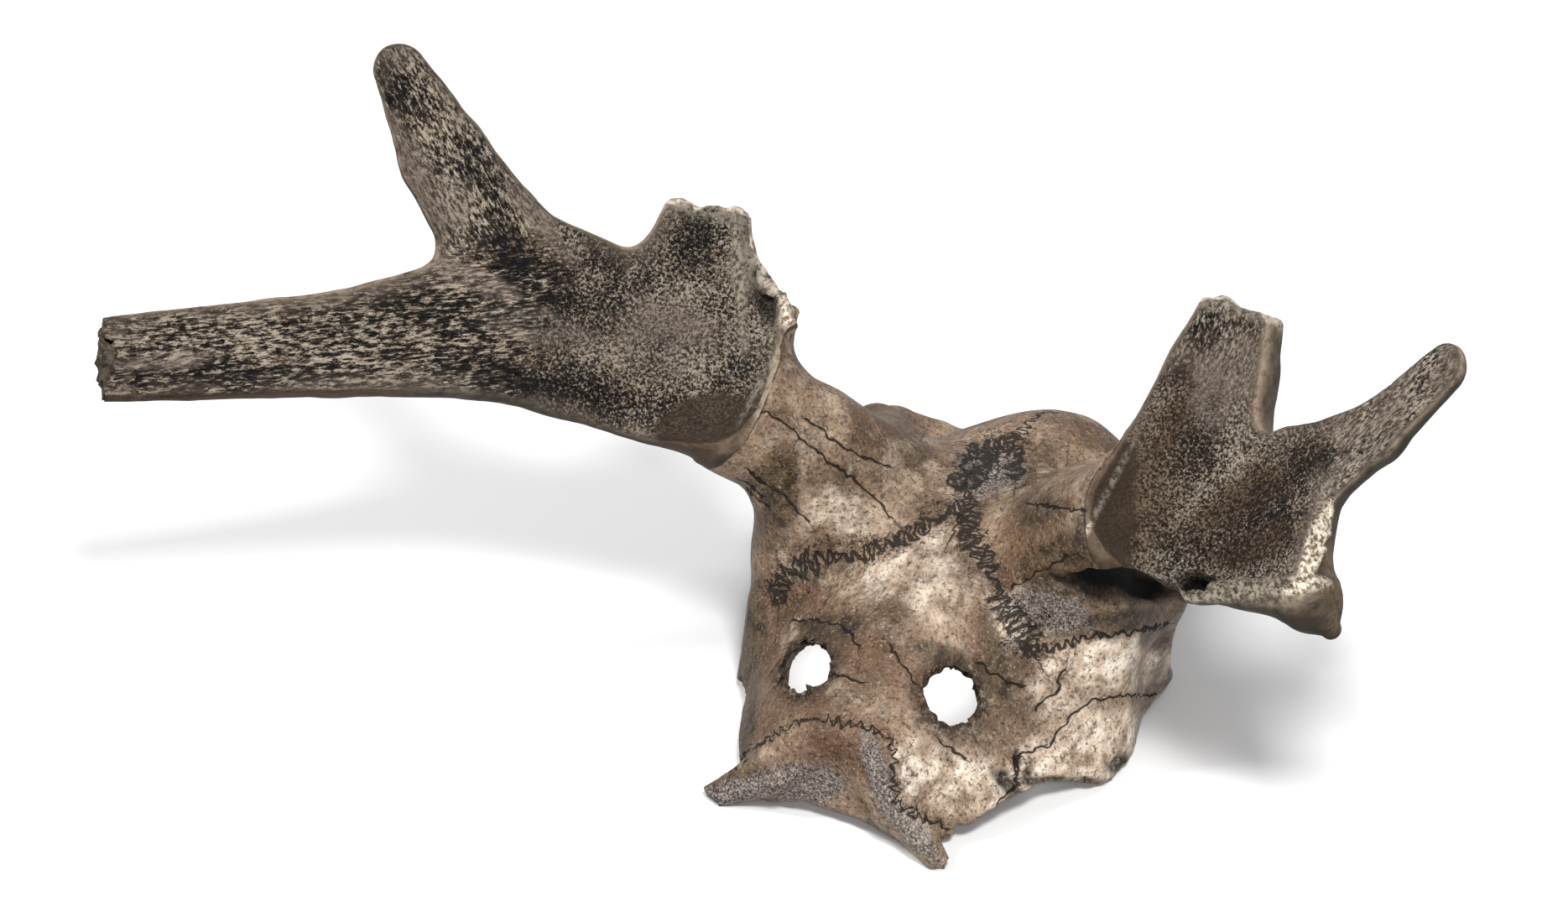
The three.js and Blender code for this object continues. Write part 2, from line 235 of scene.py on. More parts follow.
def skull_cap(p):
    """The hollow cap with its pedicles, brow ridges and nape crest, its broken rims and its bores."""
    q = mirrored(p)
    case = brain_case(p)
    f = blend(case, ball(p, *FOREHEAD_SWELL), 9)
    f = blend(f, limb(q, *PEDICLE, broken=0.01), 11)
    f = blend(f, limb(q, *BROW_RIDGE), 8)
    f = blend(f, limb(q, *NAPE_CREST), 6)
    f = carve(f, case + WALL, 2)
    f = carve(f, ball(q, *EYE_SOCKET), 3)
    for at, along, radius in BORES:
        r, h = bore_axis(p, at, along)
        chipped = 0.9 * lumps(p, 3.1, 5) + 1.3 * lumps(p, 1.7, 2)
        flare = 0.9 * smooth(-3, 5, h) + 1.2 * smooth(-3, -9, h)
        f = carve(f, r - radius + 0.3 - flare * (0.6 + 0.4 * chipped) - 0.8 * chipped, 0.8)
    y, z, ax = p[:, 1], p[:, 2], q[:, 0]
    t = np.clip((-y - 18) / 46, 0, 1)
    notch = NAPE_NOTCH * smooth(54, 62, -y) * (1 - smooth(10, 22, ax))
    arch = NAPE_ARCH * np.sin(np.pi * t) * smooth(8, 24, ax) + notch
    rough = 0.9 * lumps(p, 4.2, 1) + 0.5 * lumps(p, 1.9, 4)
    cut = np.maximum(y - FRONT_BREAK + rough, arch - z)
    return np.maximum(np.maximum(f, cut), (BROW_BREAK * smooth(28, 46, y) - z + rough) * 0.7)


# The shape of the antlers
# Each grew out of its pedicle above a knobbly burr, in hard rind round a porous core, and was split
# lengthwise, which bared the core. The left one keeps a stretch of its beam, and most tines are broken.
BURR = np.array([57, -9.5, 76.5])
BURR_AXIS = np.array([0.744, -0.395, 0.535])
SPLIT_NORMAL = np.array([0.509, -0.593, 0.624])
SPLIT_PLACE = np.array([-115.7, -29, 105])
SPLIT_RISE = 14


def split_face(p, side):
    """Height over the plane that the antler was split along, rising near the burr."""
    flip = np.array([-side, 1, 1])
    q = p * np.array([side, 1, 1])
    s = (q - BURR) @ BURR_AXIS
    rise = np.where(s < 0, SPLIT_RISE - 2 * s, SPLIT_RISE * 1.07 * (1 - smooth(-9, 30, s)))
    return (p - SPLIT_PLACE * flip) @ (SPLIT_NORMAL * flip) - rise


LEFT_LIMBS = [
    ([[-57, -9.5, 76.5], [-76, -14, 88], [-98, -21, 94.8], [-118, -32, 95.5], [-147, -58, 96],
      [-190, -98, 101.6]], [16.5, 22, 23.2, 18.6, 13.2, 11.2], 6.5),
    ([[-106, -22, 103], [-121, -20, 115], [-138, -16, 132], [-152, -12.5, 152.5]], [18, 14, 11.6, 7.8], 0.0),
    ([[-74, -2, 93], [-77, 6, 104], [-78.2, 15, 117.3]], [19, 14.5, 11], 1.6),
    ([[-64, 0, 90], [-58.8, 11.5, 99.5]], [16, 9.5], 1.4),
]
RIGHT_LIMBS = [
    ([[57, -9.5, 76.5], [75, -15, 86], [87.5, -20.5, 94]], [16.5, 21.5, 22.3], 0.0),
    ([[97, -17, 107], [116.5, -12, 121.8], [130, -5.5, 139.5]], [15.5, 9.2, 7.4], 0.0),
    ([[66, 2, 93], [65, 17, 106], [65, 29.5, 119]], [18.5, 14.3, 10.6], 1.6),
    ([[97, -26, 89], [112, -33, 83], [119, -36.5, 79]], [14, 8, 2.6], 0.0),
]


def antler(p, limbs, side):
    """The whole antler, and what the split has left of it."""
    whole = np.full(len(p), 1e3)
    for points, radii, broken in limbs:
        whole = blend(whole, limb(p, points, radii, broken), 9)
    dish = 0.5 * smooth(2, 5, -whole)
    return whole, carve(whole, -(split_face(p, side) + dish), 3.2)


# The frontlet as one bone
# Cap and antlers are a single growth, so they are shaped in one piece: a skin is laid over the frame's
# solids and drawn onto the surface given above. The bones are parted along their sutures afterwards.
FRAME_SHIFT = np.array([29.77, 16.77, -1.2])
GROUND = 1.2
VOXEL = 0.00072
GROWN_BY = 0.0005
STRIDE = 1.5
CLOSE_ENOUGH = 0.12


def frontlet(p):
    """The cap and both antlers, flat where they stand on the ground."""
    f = skull_cap(p)
    for limbs, side in ((LEFT_LIMBS, -1), (RIGHT_LIMBS, 1)):
        mine = np.flatnonzero((p[:, 0] * side > 20) & (p[:, 2] > 45))
        f[mine] = blend(f[mine], antler(p[mine], limbs, side)[1], 5)
    return np.maximum(f, GROUND - p[:, 2])


def slope(p, f, step=0.06):
    """How fast the distance f changes along each axis."""
    g = np.empty_like(p)
    for axis in range(3):
        q = p.copy()
        q[:, axis] += step
        g[:, axis] = (frontlet(q) - f) / step
    return g


def drawn_on(p, f):
    """The places moved one stride at most towards the surface."""
    g = slope(p, f)
    return p - g * (np.clip(f, -STRIDE, STRIDE) / np.maximum((g * g).sum(axis=1), 0.25))[:, None]


def numbers(source, field, width=1, kind=float):
    """One number, or one row of numbers, for each item of a mesh."""
    values = np.empty(len(source) * width, dtype=kind)
    source.foreach_get(field, values)
    return values.reshape(-1, width) if width > 1 else values


blank_mesh = bpy.data.meshes.new("frontlet_blank")
blank = bpy.data.objects.new("frontlet_blank", blank_mesh)
solids = bmesh.new()
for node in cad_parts.values():
    one = bmesh.new()
    one.from_mesh(node.data)
    bmesh.ops.remove_doubles(one, verts=one.verts, dist=1e-6)
    one.normal_update()
    for vertex in one.verts:
        vertex.co += vertex.normal * GROWN_BY
    grown = bpy.data.meshes.new("grown")
    one.to_mesh(grown)
    one.free()
    solids.from_mesh(grown)
    bpy.data.meshes.remove(grown)
solids.to_mesh(blank_mesh)
solids.free()
bpy.context.scene.collection.objects.link(blank)
skin = blank.modifiers.new("skin", "REMESH")
skin.mode = "VOXEL"
skin.voxel_size = VOXEL
skin.adaptivity = 0
bpy.context.view_layer.update()
one_bone = bpy.data.meshes.new_from_object(blank.evaluated_get(bpy.context.evaluated_depsgraph_get()))
bpy.data.objects.remove(blank)

bone = numbers(one_bone.vertices, "co", 3) * 1000 - FRAME_SHIFT
count = len(bone)
for _ in range(3):
    f = frontlet(bone)
    bone = drawn_on(bone, f)
for _ in range(4):
    far = np.flatnonzero(np.abs(f) > CLOSE_ENOUGH)
    f[far] = frontlet(bone[far])
    bone[far] = drawn_on(bone[far], f[far])
one_bone.vertices.foreach_set("co", ((bone + FRAME_SHIFT) / 1000).ravel())
one_bone.update()
normal = numbers(one_bone.vertices, "normal", 3)

# The sutures
# Young skull bones meet in toothed seams, which close as the animal grows and stay as dark winding lines.
# These are the lines on the bone, in mm from its own zero, and how far each spot of the bone is from them.


def beside(a, b, line):
    """Signed distance from a line of points, and how far along it the nearest point is."""
    best, side, run = np.full(len(a), 1e9), np.zeros(len(a)), np.zeros(len(a))
    start = 0.0
    for (a0, b0), (a1, b1) in zip(line, line[1:]):
        da, db = a1 - a0, b1 - b0
        length = math.hypot(da, db)
        t = np.clip(((a - a0) * da + (b - b0) * db) / length**2, 0, 1)
        d = np.hypot(a - a0 - t * da, b - b0 - t * db)
        near = d < best
        side = np.where(near, np.sign((b - b0) * da - (a - a0) * db), side)
        run = np.where(near, start + t * length, run)
        best = np.where(near, d, best)
        start += length
    return best * side, run


UNMARKED = 12.0
CORONAL_LEFT = [[1, 1], [-12, -13], [-25, -18], [-36, -19.5], [-48, -17], [-72, -11]]
CORONAL_RIGHT = [[-1, 1], [11, -10], [21, -16], [33, -21.5], [45, -18], [72, -9]]
INTERFRONTAL = [[0, -1.5], [-3, 18], [1, 33], [1, 85]]
SQUAMOSAL = [[-62, 3], [-46, 9.5], [-38.6, 16], [-25, 20.5], [-4, 25]]

X, Y, Z = bone.T
left_line, left_run = beside(X, Y, CORONAL_LEFT)
right_line, _ = beside(X, Y, CORONAL_RIGHT)
coronal = np.where(X < 0, -left_line, right_line) + 0.5 * lumps(bone, 5, 5)
middle_line, middle_run = beside(X, Y, INTERFRONTAL)
crown = -middle_line + 0.5 * lumps(bone, 5, 6)
side_line, side_run = beside(Y, Z, SQUAMOSAL)
side_suture = side_line + 0.5 * lumps(bone, 5, 8)
inside = smooth(-2.5, -4.5, brain_case(bone))

# Where each spot of the bone shows in the photograph, in pixels, for the marks that only this side shows.
PIXEL = 0.21
back = np.array((camera.location - LOOKED_AT).normalized())
right = np.array(camera.rotation_quaternion @ Vector((1, 0, 0)))
up = np.array(camera.rotation_quaternion @ Vector((0, 1, 0)))
ray = (bone + FRAME_SHIFT) / 1000 - np.array(camera.location)
depth = -(ray @ back)
lens_pixels = PHOTO_WIDTH * camera_data.lens / camera_data.sensor_width
U = PHOTO_WIDTH / 2 + lens_pixels * (ray @ right) / depth
V = PHOTO_HEIGHT / 2 - lens_pixels * (ray @ up) / depth
facing = smooth(0.02, 0.3, normal @ back) * (1 - inside)


def seen_line(line):
    """Distance in mm from a line drawn in the photograph, and how far along it."""
    d, run = beside(U, V, line)
    return np.where(facing > 0.12, d * PIXEL, UNMARKED), run * PIXEL


SEEN_SUTURES = [
    [(1168, 552), (1150, 600), (1118, 620), (1080, 640), (1050, 652), (1020, 662), (985, 664), (950, 677),
     (932, 692), (930, 712)],
    [(1150, 600), (1160, 640), (1172, 670), (1190, 700), (1205, 735), (1225, 768)],
    [(1142, 575), (1150, 548), (1172, 532), (1200, 524), (1216, 540), (1212, 568)],
]
SEEN_LAMBDOID = [
    (872, 912), (905, 888), (945, 862), (975, 856), (1000, 862), (1040, 868), (1060, 880), (1066, 905),
    (1064, 930), (1070, 958), (1090, 972), (1125, 985),
]
SEEN_TEMPLE_SUTURE = [(1225, 772), (1258, 774), (1290, 760), (1340, 755), (1392, 744)]

teeth_line, teeth_run = np.full(count, UNMARKED), np.zeros(count)
for number, line in enumerate(SEEN_SUTURES):
    d, run = seen_line(line)
    closer = np.abs(d) < np.abs(teeth_line)
    teeth_run = np.where(closer, run + 60 * number, teeth_run)
    teeth_line = np.where(closer, d, teeth_line)
near_temple, near_forehead = np.hypot(U - 1222, V - 745), np.hypot(U - 945, V - 700)
wide = 1 + 0.9 * smooth(60, 20, near_temple) + 0.45 * smooth(60, 20, near_forehead)
teeth_band = np.abs(teeth_line) / wide
nape_seen, nape_run = seen_line(SEEN_LAMBDOID)
nape_band = np.abs(nape_seen) / (0.12 + 0.45 * smooth(1045, 1065, U) * smooth(985, 960, V))
temple_seen, temple_run = seen_line(SEEN_TEMPLE_SUTURE)

outer = inside < 0.5
hidden = (facing < 0.1) & outer
far_crown = np.where((Y > 14) & outer, crown, UNMARKED)
sideways = (np.abs(normal[:, 0]) > 0.45) & (np.abs(X) > 30)
far_side = np.where(sideways & hidden & (Y < -14), side_suture, UNMARKED)
far_front = np.where(hidden & (np.abs(X) > 40) & (Z < 40), coronal, UNMARKED)

# Cracks, stains, wear, painted highlights and painted shade on the cap
# The dry bone split along its grain and took up rust and peat in patches. It is rubbed pale where it is
# high, and those pale marks are also painted highlight; the olive marks are dark stain and also painted
# shade.
# Each mark is drawn where the photograph shows it.


def spots(listed, edge=0.35, seen=None):
    """How much each point lies in one of these ellipses: middle, half length, half width and turn."""
    most = np.zeros(count)
    wobble = 0.22 * lumps(bone, 7, 3) + 0.12 * lumps(bone, 2.6, 6)
    for u, v, long, wide, turn in listed:
        c, s = math.cos(math.radians(turn)), math.sin(math.radians(turn))
        a, b = (U - u) * c + (V - v) * s, (V - v) * c - (U - u) * s
        r = np.sqrt((a / long) ** 2 + (b / wide) ** 2) + wobble
        most = np.maximum(most, smooth(1 + edge, 1 - edge, r))
    return most * (facing if seen is None else seen)


def cracks(lines, wander=2.0):
    """Signed distance in mm to the nearest of these lines, far away where none is near."""
    nearest = np.full(count, 9.0)
    for line in lines:
        d, run = beside(U, V, line)
        d = (d + wander * 2 * lumps(bone, 2.4, 12) + wander * lumps(bone, 1.1, 15)) * PIXEL
        d = np.where(facing > 0.2, d, 9.0)
        nearest = np.where(np.abs(d) < np.abs(nearest), d, nearest)
    return nearest


# Pale patches on the roof, painted as highlight at half strength; the cream marks on the right wall are
# partly pale bone and partly painted highlight.
highlight_patches = spots([
    (1075, 675, 62, 24, -28), (1120, 700, 34, 44, 0), (1000, 608, 44, 26, 20), (1255, 830, 30, 24, 0),
])
pale_and_highlight = np.maximum(0.5 * highlight_patches, spots([
    (1325, 790, 78, 34, -12), (1318, 895, 66, 48, -8), (1240, 925, 44, 40, 0), (1145, 935, 58, 40, 25),
    (1085, 915, 18, 40, -10), (1205, 740, 22, 40, 10), (1085, 985, 14, 30, -40),
]))
stain = spots([
    (958, 712, 30, 24, 0), (1010, 900, 70, 34, 12), (1065, 800, 60, 36, 20), (1175, 765, 18, 46, -18),
    (1225, 640, 40, 30, 0), (1215, 690, 24, 22, 0), (895, 860, 34, 28, 0), (1310, 520, 60, 20, 10),
    (905, 770, 26, 90, 8), (940, 840, 46, 26, 0), (1010, 770, 40, 30, 0), (1060, 500, 46, 22, 10),
    (1265, 800, 20, 16, 0), (1030, 870, 40, 14, 15),
])
# Dark olive-brown patches: partly stain, partly painted shade on the left edge that faces away from the key
# lamp and on the forehead and burr under the right antler.
olive_and_shade = spots([
    (896, 760, 15, 62, 8), (884, 850, 18, 60, 0), (1330, 742, 74, 16, -8), (1262, 668, 44, 34, -20),
    (1300, 640, 26, 50, 20), (1240, 610, 30, 26, 0), (1188, 790, 14, 60, -14), (880, 935, 34, 20, -20),
    (930, 590, 22, 60, 12), (1120, 780, 34, 12, 20), (1000, 745, 40, 14, 0), (1270, 700, 40, 14, -10),
    (1380, 760, 20, 18, 0),
])
grey = spots([
    (880, 945, 56, 18, -18), (1045, 920, 15, 52, -14), (1082, 985, 14, 56, -42), (955, 935, 50, 22, 8),
    (1250, 730, 50, 26, 10), (1180, 560, 40, 30, 0),
])
crack = cracks([
    [(1215, 930), (1214, 903), (1250, 889), (1262, 872), (1276, 858), (1300, 835), (1340, 830), (1384, 828)],
    [(1214, 903), (1214, 935), (1190, 958), (1176, 975)],
    [(900, 485), (945, 512), (1000, 560), (1035, 585), (1062, 615)],
    [(960, 500), (1005, 532), (1062, 556)],
    [(890, 560), (930, 592), (962, 622)],
    [(1225, 600), (1262, 606), (1292, 606)],
    [(1205, 702), (1240, 680), (1272, 664)],
    [(945, 740), (975, 738), (1012, 748), (1020, 770)],
    [(1165, 790), (1200, 812), (1222, 816)],
    [(1060, 770), (1092, 812)],
    [(985, 800), (1030, 812)],
    [(884, 574), (908, 592)],
    [(890, 588), (914, 606)],
    [(902, 566), (918, 582)],
    [(1235, 845), (1262, 820), (1268, 800)],
    [(1120, 880), (1150, 905)],
])
chip = np.full(count, UNMARKED)
for at, along, radius in BORES:
    r, h = bore_axis(bone, at, along)
    chip = np.minimum(chip, np.where(np.abs(h) < 14, r - radius, UNMARKED))
rim = spots([
    (1203, 935, 24, 9, 40), (1232, 932, 22, 7, 5), (1262, 932, 26, 7, 0), (1292, 932, 24, 6, 0),
    (1335, 912, 9, 16, 50), (1226, 922, 8, 8, 0), (1196, 925, 9, 7, 30), (1214, 905, 5, 12, 0),
], 0.5)

# Burrs, split faces, breaks and painted shade on the antlers
# Core is the depth in the antler, below is the depth under the split face. Worn, sooty, tanned and shaved
# places follow the photograph; the sooty and shaved places are also painted shade along lower edges and by
# the right burr, the rind that faces down is painted in shade, and the raised edges are painted pale, partly
# as highlight. The beam's old break is as dark as the core, and the tines' breaks are paler.
BURR_LINE = np.array([56.5, -9.8, 76.2])


def burr_wave(p):
    """How far the burr's line swings out at these places, in mm."""
    return 0.8 * lumps(p, 7, 2) + 0.4 * lumps(p, 2.4, 6)


burr = (mirrored(bone) - BURR_LINE) @ BURR_AXIS + burr_wave(bone)
core = np.full(count, -6.0)
below = np.full(count, 40.0)
snapped = np.zeros(count)
for limbs, side in ((LEFT_LIMBS, -1), (RIGHT_LIMBS, 1)):
    mine = np.flatnonzero((burr > -2) & (X * side > 0))
    whole, _ = antler(bone[mine], limbs, side)
    core[mine] = -whole
    below[mine] = -split_face(bone[mine], side)
    for points, radii, broken in limbs:
        if not broken:
            continue
        end = np.array(points[-1], float)
        along = end - np.array(points[-2], float)
        along /= np.linalg.norm(along)
        q = bone[mine] - end
        past = q @ along
        aside = np.linalg.norm(q - past[:, None] * along, axis=1)
        near_end = smooth(-4.5, -1, past) * smooth(radii[-1] + 5, radii[-1] + 2, aside)
        if points is LEFT_LIMBS[0][0]:
            below[mine] = np.maximum(below[mine], 40 * near_end)
        else:
            snapped[mine] = np.maximum(snapped[mine], near_end * 0.85)

beam = np.where(X < 0, smooth(-96, -112, X) * smooth(118, 104, Z + (X + 100) * 0.15), 0)
left_tine = smooth(108, 122, Z) * smooth(-104, -116, X)
tine = np.where(X < 0, left_tine, smooth(100, 112, X) * smooth(105, 115, Z))
brow = np.where(X > 0, smooth(104, 112, Z) * smooth(92, 80, X), 0)
worn = spots([
    (500, 235, 26, 70, -12), (530, 250, 30, 44, 10), (455, 318, 60, 16, -25), (350, 358, 110, 9, -8),
    (560, 330, 60, 14, 25), (640, 390, 60, 20, 10), (800, 400, 60, 44, 0), (885, 300, 14, 60, 0),
    (640, 262, 60, 12, 48), (475, 65, 24, 14, 0), (1660, 478, 100, 26, -42), (1600, 560, 26, 60, 35),
    (1450, 460, 36, 56, 0), (1480, 430, 30, 50, 0), (1700, 430, 44, 20, -42), (200, 430, 80, 10, -8),
], 0.5)
tanned = 0.8 * spots([
    (1345, 590, 60, 110, 20), (1400, 500, 26, 80, 25), (1480, 590, 90, 24, -35), (1500, 650, 70, 20, -20),
], 0.7)
# Soot in the core's pits; along the lower edges of the beam and tines these spots are painted shade.
soot_and_shade = spots([
    (520, 380, 110, 30, 12), (640, 330, 60, 40, 30), (600, 450, 130, 22, 20), (720, 480, 60, 26, 25),
    (730, 290, 40, 24, -20), (830, 300, 34, 40, 0), (470, 110, 16, 44, -20), (580, 210, 50, 20, 55),
    (1440, 470, 34, 90, 15), (1500, 610, 60, 40, -20), (1555, 560, 30, 44, 30), (1290, 610, 30, 40, 20),
    (1300, 650, 50, 30, 10), (250, 445, 140, 16, 0), (1460, 650, 60, 24, 0),
], 0.8)
# Shaved rind in dark brown; the thin strips along the left beam's lower edges and the right burr's rim over
# the hollow are painted shade.
shaved_and_shade = (core > -8) * spots([
    (838, 512, 66, 46, -24), (300, 471, 215, 5, -1), (610, 498, 80, 5, 22), (1312, 600, 46, 80, 15),
    (1290, 660, 60, 40, 10),
], 0.14, smooth(-0.3, 0, normal @ back))
# Faces that turn downwards, where the antler rind is painted in shade.
under = smooth(0.25, -0.3, normal[:, 2])
brow_hollow = spots([(914, 352, 40, 15, 82)])
# Raised brow ridge, lips and the right antler's ledge, painted pale: partly pale broken bone, partly painted
# highlight.
brow_ridge = spots([(882, 330, 80, 7, 86)])
brow_lip = spots([(935, 370, 32, 8, 80), (918, 318, 20, 7, 20)])
ledge = spots([(1490, 702, 92, 12, -4), (1570, 636, 66, 11, -75)])
lip = 0.6 * spots([(1318, 590, 80, 3.5, -62), (900, 468, 44, 3, -62), (1275, 675, 26, 4, -10)], 0.6)
turned = smooth(-0.35, -0.05, normal @ back) * (1 - inside)
# The hollow under the right burr, and less so the left brow hollow, are painted near black as painted shade,
# besides being sunk into the mesh.
cavity_shade = spots([(1335, 699, 82, 18, 3), (1425, 693, 26, 10, 8)], 0.18, turned)

# The relief of the bone
# The core is pitted, the sutures' bands are crumpled, the cracks and the bores' rims are sunk in,
# and the nape crest, the brow stub's ridge and the right antler's ledge stand up. All of it is in the mesh.
on_core = smooth(1.2, 2.6, core)
pits = lumps(bone, 1.9, 1.5) + 0.7 * lumps(bone, 1.1, 3)
relief = 0.2 * lumps(bone, 9, 2) + 0.1 * lumps(bone, 3, 8)
relief -= on_core * 0.45 * smooth(0.05, 0.9, pits)
in_band = np.exp(-((teeth_band / 3.5) ** 2))
relief += in_band * (0.35 * lumps(bone, 1.6, 3) - 0.15)
relief -= 0.5 * np.exp(-((crack / 0.6) ** 2))
relief += smooth(5, 1, chip) * smooth(-1, 0.5, chip) * (0.5 * lumps(bone, 2.2, 4) - 0.35)
relief -= 2.0 * spots([(1000, 925, 46, 30, 10), (905, 925, 40, 14, -20)], 0.8)
relief += 1.2 * spots([(1062, 950, 78, 13, 58), (885, 950, 60, 8, -18)], 0.6)
relief += 1.3 * brow_ridge + (1.2 + 1.6 * lumps(bone, 3.2, 2)) * brow_lip - 5.0 * brow_hollow
relief += rim * (0.9 * lumps(bone, 2.2, 9) - 0.5)
relief += (1.2 + 2.6 * lumps(bone, 2.9, 5)) * ledge - 5.5 * cavity_shade
bone += normal * relief[:, None]
one_bone.vertices.foreach_set("co", ((bone + FRAME_SHIFT) / 1000).ravel())
one_bone.update()
normal = numbers(one_bone.vertices, "normal", 3)
number_of = one_bone.attributes.new("number", "INT", "POINT")
number_of.data.foreach_set("value", np.arange(1, count + 1, dtype=np.int32))

# What the finishes draw with, for each point of the bone.
MARKS = {
    "teeth": teeth_line, "teeth_run": teeth_run, "band": np.minimum(teeth_band, nape_band),
    "nape": nape_seen, "nape_run": nape_run, "temple": temple_seen, "temple_run": temple_run,
    "crown": far_crown, "crown_run": middle_run, "side": far_side, "side_run": side_run,
    "front": far_front, "front_run": left_run, "burr": burr, "core": core, "below": below,
    "snapped": snapped, "inside": inside, "pale_and_highlight": pale_and_highlight, "stain": stain, "grey": grey, "crack": crack,
    "chip": chip, "pale_edge_and_highlight": np.maximum(np.maximum(brow_ridge, brow_lip), np.maximum(ledge, lip)),
    "rim": rim, "olive_and_shade": olive_and_shade, "worn": worn, "hollow_shade": np.maximum(cavity_shade, brow_hollow * 0.75),
    "beam": beam, "tine": tine, "brow": brow, "soot_and_shade": soot_and_shade, "tanned": tanned, "shaved_and_shade": shaved_and_shade,
    "under": under,
}

# The antlers
# Deer antler: a hard tan rind round a porous core whose pits hold black dirt. Each is one growth with its
# pedicle, so it is sawn off the whole bone along the wavy line of its burr.
OUTSIDE = 130
CRUMB = 100
ITS_OWN = 0.002
SAW_CUT = 0.35
workbench = []


def laid_out(name, mesh):
    """An object that is only needed for the cuts."""
    made = bpy.data.objects.new(name, mesh)
    bpy.context.scene.collection.objects.link(made)
    workbench.append(made)
    return made


def in_frame(*place):
    """A place on the bone, in mm, as a place in the frame."""
    return Vector((np.array(place) + FRAME_SHIFT) / 1000)


def knife(name, sheet, reach):
    """A block with one shaped side, which cuts the bone there: the sheet's faces drawn out by this much."""
    drawn = bmesh.ops.extrude_face_region(sheet, geom=sheet.faces[:])["geom"]
    far_side = [part for part in drawn if isinstance(part, bmesh.types.BMVert)]
    bmesh.ops.translate(sheet, vec=Vector(reach) / 1000, verts=far_side)
    bmesh.ops.recalc_face_normals(sheet, faces=sheet.faces[:])
    mesh = bpy.data.meshes.new(name)
    sheet.to_mesh(mesh)
    sheet.free()
    return laid_out(name + "_knife", mesh)


def burr_knife(name, side):
    """A wavy sheet across the burr, drawn out over the whole antler."""
    sheet = bmesh.new()
    bmesh.ops.create_grid(sheet, x_segments=90, y_segments=90, size=0.1)
    axis = Vector(BURR_AXIS * np.array([side, 1, 1])).normalized()
    bmesh.ops.rotate(sheet, matrix=axis.to_track_quat("Z", "Y").to_matrix(), verts=sheet.verts[:])
    middle = in_frame(BURR_LINE[0] * side, BURR_LINE[1], BURR_LINE[2])
    bmesh.ops.translate(sheet, vec=middle, verts=sheet.verts[:])
    at = np.array([v.co for v in sheet.verts]) * 1000 - FRAME_SHIFT
    for vertex, height in zip(sheet.verts, burr_wave(at)):
        vertex.co -= axis * (height / 1000)
    return knife(name, sheet, axis * 200)


def sawn(name, body, tool, operation):
    """What is left of a piece of bone after one cut."""
    saw = body.modifiers.new("saw", "BOOLEAN")
    saw.solver = "MANIFOLD"
    saw.operation = operation
    saw.object = tool
    mesh = bpy.data.meshes.new_from_object(body.evaluated_get(bpy.context.evaluated_depsgraph_get()))
    body.modifiers.remove(saw)
    return laid_out(name + "_cut", mesh)


def parted(name, body, tool):
    """Both halves of a piece of bone: the one in the knife's block, and the rest."""
    return sawn(name, body, tool, "INTERSECT"), sawn(name, body, tool, "DIFFERENCE")


def without_crumbs(mesh):
    """Takes away the few loose crumbs of bone that a cut leaves at its edge."""
    solid = bmesh.new()
    solid.from_mesh(mesh)
    unseen, crumbs = set(solid.verts), []
    while unseen:
        first = unseen.pop()
        lump, growing = [first], [first]
        while growing:
            here = growing.pop()
            for edge in here.link_edges:
                other = edge.other_vert(here)
                if other in unseen:
                    unseen.discard(other)
                    lump.append(other)
                    growing.append(other)
        if len(lump) < CRUMB:
            crumbs += lump
    bmesh.ops.delete(solid, geom=crumbs, context="VERTS")
    solid.to_mesh(mesh)
    solid.free()


def weights_on_bone(mesh):
    """The points of the whole bone that each corner of a sawn piece takes its marks from, and how much."""
    own = numbers(mesh.attributes["number"].data, "value", kind=np.int32)
    places = numbers(mesh.vertices, "co", 3)
    known = own > 0
    known[known] = np.abs(places[known] * 1000 - FRAME_SHIFT - bone[own[known] - 1]).max(axis=1) < ITS_OWN
    source = np.repeat(np.maximum(own - 1, 0)[:, None], 3, axis=1)
    share = np.tile([1.0, 0, 0], (len(own), 1))
    for new in np.flatnonzero(~known):
        found = nearest.find_n(places[new], 3)
        source[new] = [index for _, index, _ in found]
        share[new] = [1 / (distance + 1e-6) for _, _, distance in found]
    return source, share / share.sum(axis=1)[:, None]


def finished(name, cut, finish):
    """One bone as its own closed piece, with its marks and the frontlet's shading across the joints."""
    mesh = cut.data
    mesh.name = name
    without_crumbs(mesh)
    source, share = weights_on_bone(mesh)
    for mark, values in MARKS.items():
        own_values = (values[source] * share).sum(axis=1)
        mesh.attributes.new(mark, "FLOAT", "POINT").data.foreach_set("value", own_values)
    mesh.attributes.remove(mesh.attributes["number"])
    skin = (normal[source] * share[:, :, None]).sum(axis=1)
    skin /= np.linalg.norm(skin, axis=1)[:, None]
    corner = numbers(mesh.loops, "vertex_index", kind=np.int32)
    sides = numbers(mesh.polygons, "loop_total", kind=np.int32)
    flat = np.repeat(numbers(mesh.polygons, "normal", 3), sides, axis=0)
    same = (flat * skin[corner]).sum(axis=1)
    whole_face = np.minimum.reduceat(same, np.concatenate([[0], np.cumsum(sides)[:-1]]))
    on_skin = np.repeat(whole_face, sides) > SAW_CUT
    mesh.polygons.foreach_set("use_smooth", np.ones(len(sides), dtype=bool))
    mesh.normals_split_custom_set(np.where(on_skin[:, None], skin[corner], flat).tolist())
    mesh.materials.clear()
    mesh.materials.append(finish)
    piece = bpy.data.objects.new(name, mesh)
    bpy.context.scene.collection.objects.link(piece)
    return piece


nearest = KDTree(count)
for index, place in enumerate(((bone + FRAME_SHIFT) / 1000).tolist()):
    nearest.insert(place, index)
nearest.balance()

